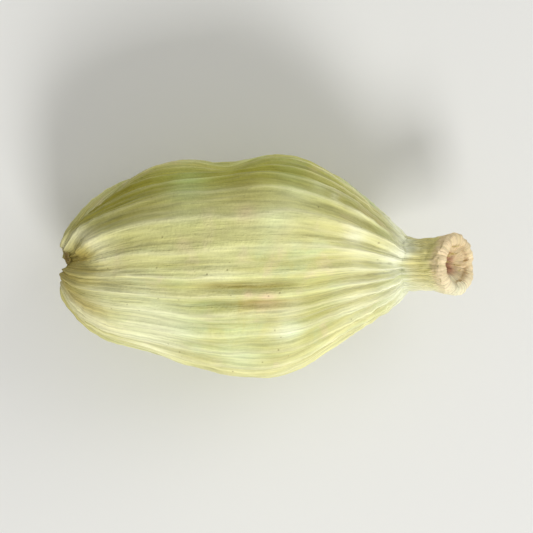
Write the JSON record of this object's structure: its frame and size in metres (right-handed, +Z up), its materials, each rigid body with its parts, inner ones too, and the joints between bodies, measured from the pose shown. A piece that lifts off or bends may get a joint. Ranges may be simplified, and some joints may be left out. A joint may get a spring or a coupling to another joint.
{
  "type": "green cardamom pod",
  "caption": "Dried green cardamom pod: a ribbed, three-sided seed capsule with a blunt tip and a cut stalk that ends in a hollow ring.",
  "frame": {"origin": "bottom centre of the bounding box, on the surface that the pod lies on", "axes": "+X along the pod from its tip towards its stalk, +Z up as it lies, +Y towards its back"},
  "size_m": [0.0188, 0.0102, 0.0096],
  "materials": {
    "dry_green_husk": "matte"
  },
  "bodies": {
    "root": {"cardamom_pod": "dry_green_husk"}
  },
  "joints": []
}
